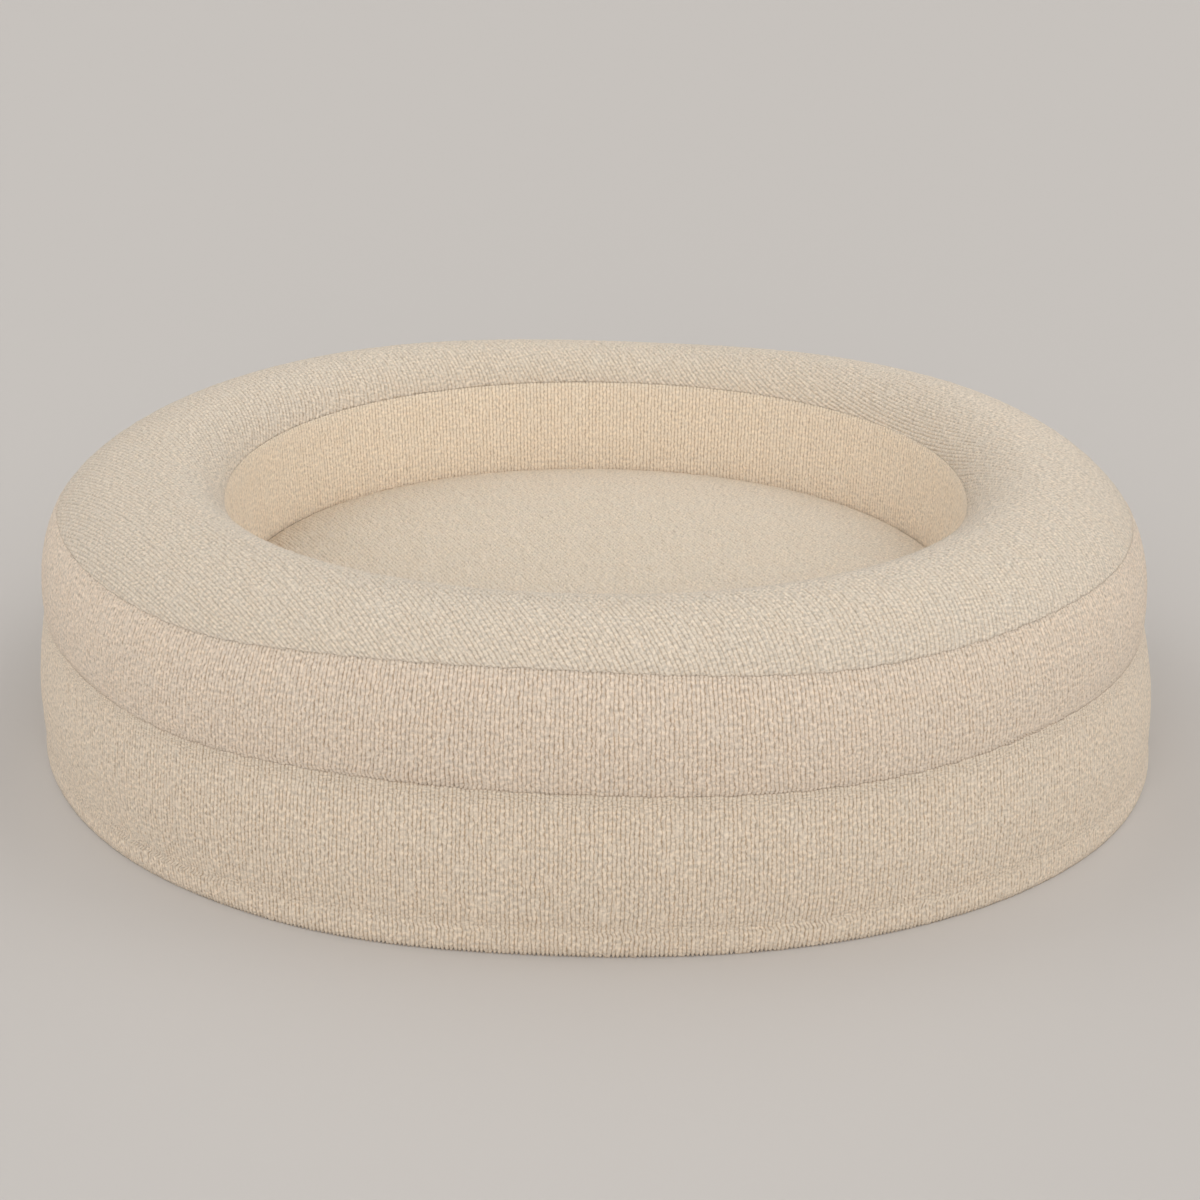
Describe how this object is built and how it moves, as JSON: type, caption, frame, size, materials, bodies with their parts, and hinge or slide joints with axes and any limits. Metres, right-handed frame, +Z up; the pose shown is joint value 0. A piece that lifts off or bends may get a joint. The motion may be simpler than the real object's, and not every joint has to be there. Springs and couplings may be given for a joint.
{
  "type": "bolster pet bed",
  "caption": "Oval bolster pet bed: stuffed base cushion with a hemmed band, rounded bolster ring sewn to its rim, crowned seat pad in the well, in cream ribbed boucle.",
  "frame": {"origin": "on the floor under the middle of the bed", "axes": "+Z up, the long axis of the oval along X, the front of the picture towards -Y"},
  "size_m": [0.8975, 0.7621, 0.24],
  "materials": {
    "band_cloth": "cream ribbed boucle, ribs upright, hem stitched in the same colour",
    "ring_cloth": "cream ribbed boucle, ribs upright on the walls and slanting in plan on the top panel",
    "seat_cloth": "cream ribbed boucle, soft and nubby, ribs slanting in plan"
  },
  "bodies": {
    "root": {"base_cushion": "band_cloth", "bolster_ring": "ring_cloth", "seat_pad": "seat_cloth"}
  },
  "joints": []
}
